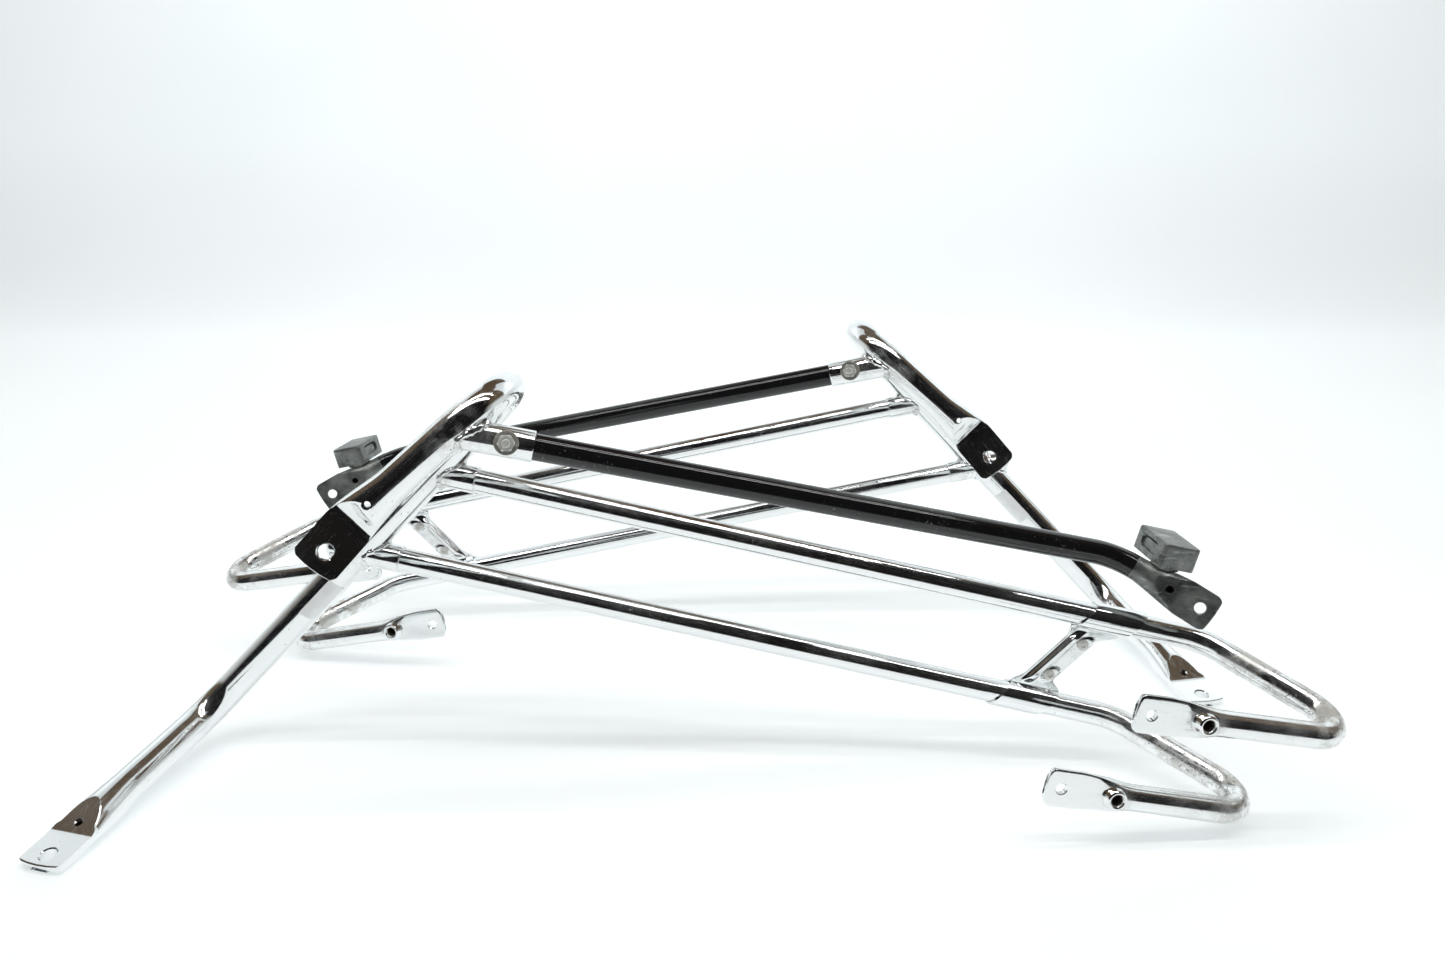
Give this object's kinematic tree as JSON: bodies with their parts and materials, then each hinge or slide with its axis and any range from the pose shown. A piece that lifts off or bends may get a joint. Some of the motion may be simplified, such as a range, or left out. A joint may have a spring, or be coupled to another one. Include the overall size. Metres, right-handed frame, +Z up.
{
  "type": "bag guard frame pair",
  "caption": "Mirrored pair of chrome bag guard frames: hairpin hoop, parallel rails with open loops, clamp link and black support rail with a latch box.",
  "frame": {"origin": "on the floor at the middle of the pair", "axes": "+Z up, +X along the rails, +Y from the near frame to the far frame"},
  "size_m": [0.928, 0.4518, 0.3167],
  "materials": {
    "chrome": "mirror",
    "black_paint": "gloss",
    "zinc": "dull",
    "bare_steel": "worn"
  },
  "bodies": {
    "near_frame": {"near_hoop": "chrome", "near_upper_stub": "chrome", "near_lower_stub": "chrome", "near_stub_plug": "chrome", "near_upper_rail": "chrome", "near_lower_rail": "chrome", "near_upper_bush": "bare_steel", "near_lower_bush": "bare_steel", "near_clamp_front": "chrome", "near_clamp_back": "chrome", "near_clamp_screw_low": "zinc", "near_clamp_screw_high": "zinc", "near_clamp_nut_low": "zinc", "near_clamp_nut_high": "zinc", "near_socket": "chrome", "near_socket_bolt": "zinc", "near_socket_washer": "zinc", "near_socket_nut": "zinc", "near_support_rail": "black_paint", "near_latch_box": "bare_steel"},
    "far_frame": {"far_hoop": "chrome", "far_upper_stub": "chrome", "far_lower_stub": "chrome", "far_stub_plug": "chrome", "far_upper_rail": "chrome", "far_lower_rail": "chrome", "far_upper_bush": "bare_steel", "far_lower_bush": "bare_steel", "far_clamp_front": "chrome", "far_clamp_back": "chrome", "far_clamp_screw_low": "zinc", "far_clamp_screw_high": "zinc", "far_clamp_nut_low": "zinc", "far_clamp_nut_high": "zinc", "far_socket": "chrome", "far_socket_bolt": "zinc", "far_socket_washer": "zinc", "far_socket_nut": "zinc", "far_support_rail": "black_paint", "far_latch_box": "bare_steel"}
  },
  "joints": [
    {"name": "far_frame_slide", "type": "slide", "parent": "near_frame", "child": "far_frame", "axis": [0, 1, 0], "range_m": [0, 0.3]}
  ]
}
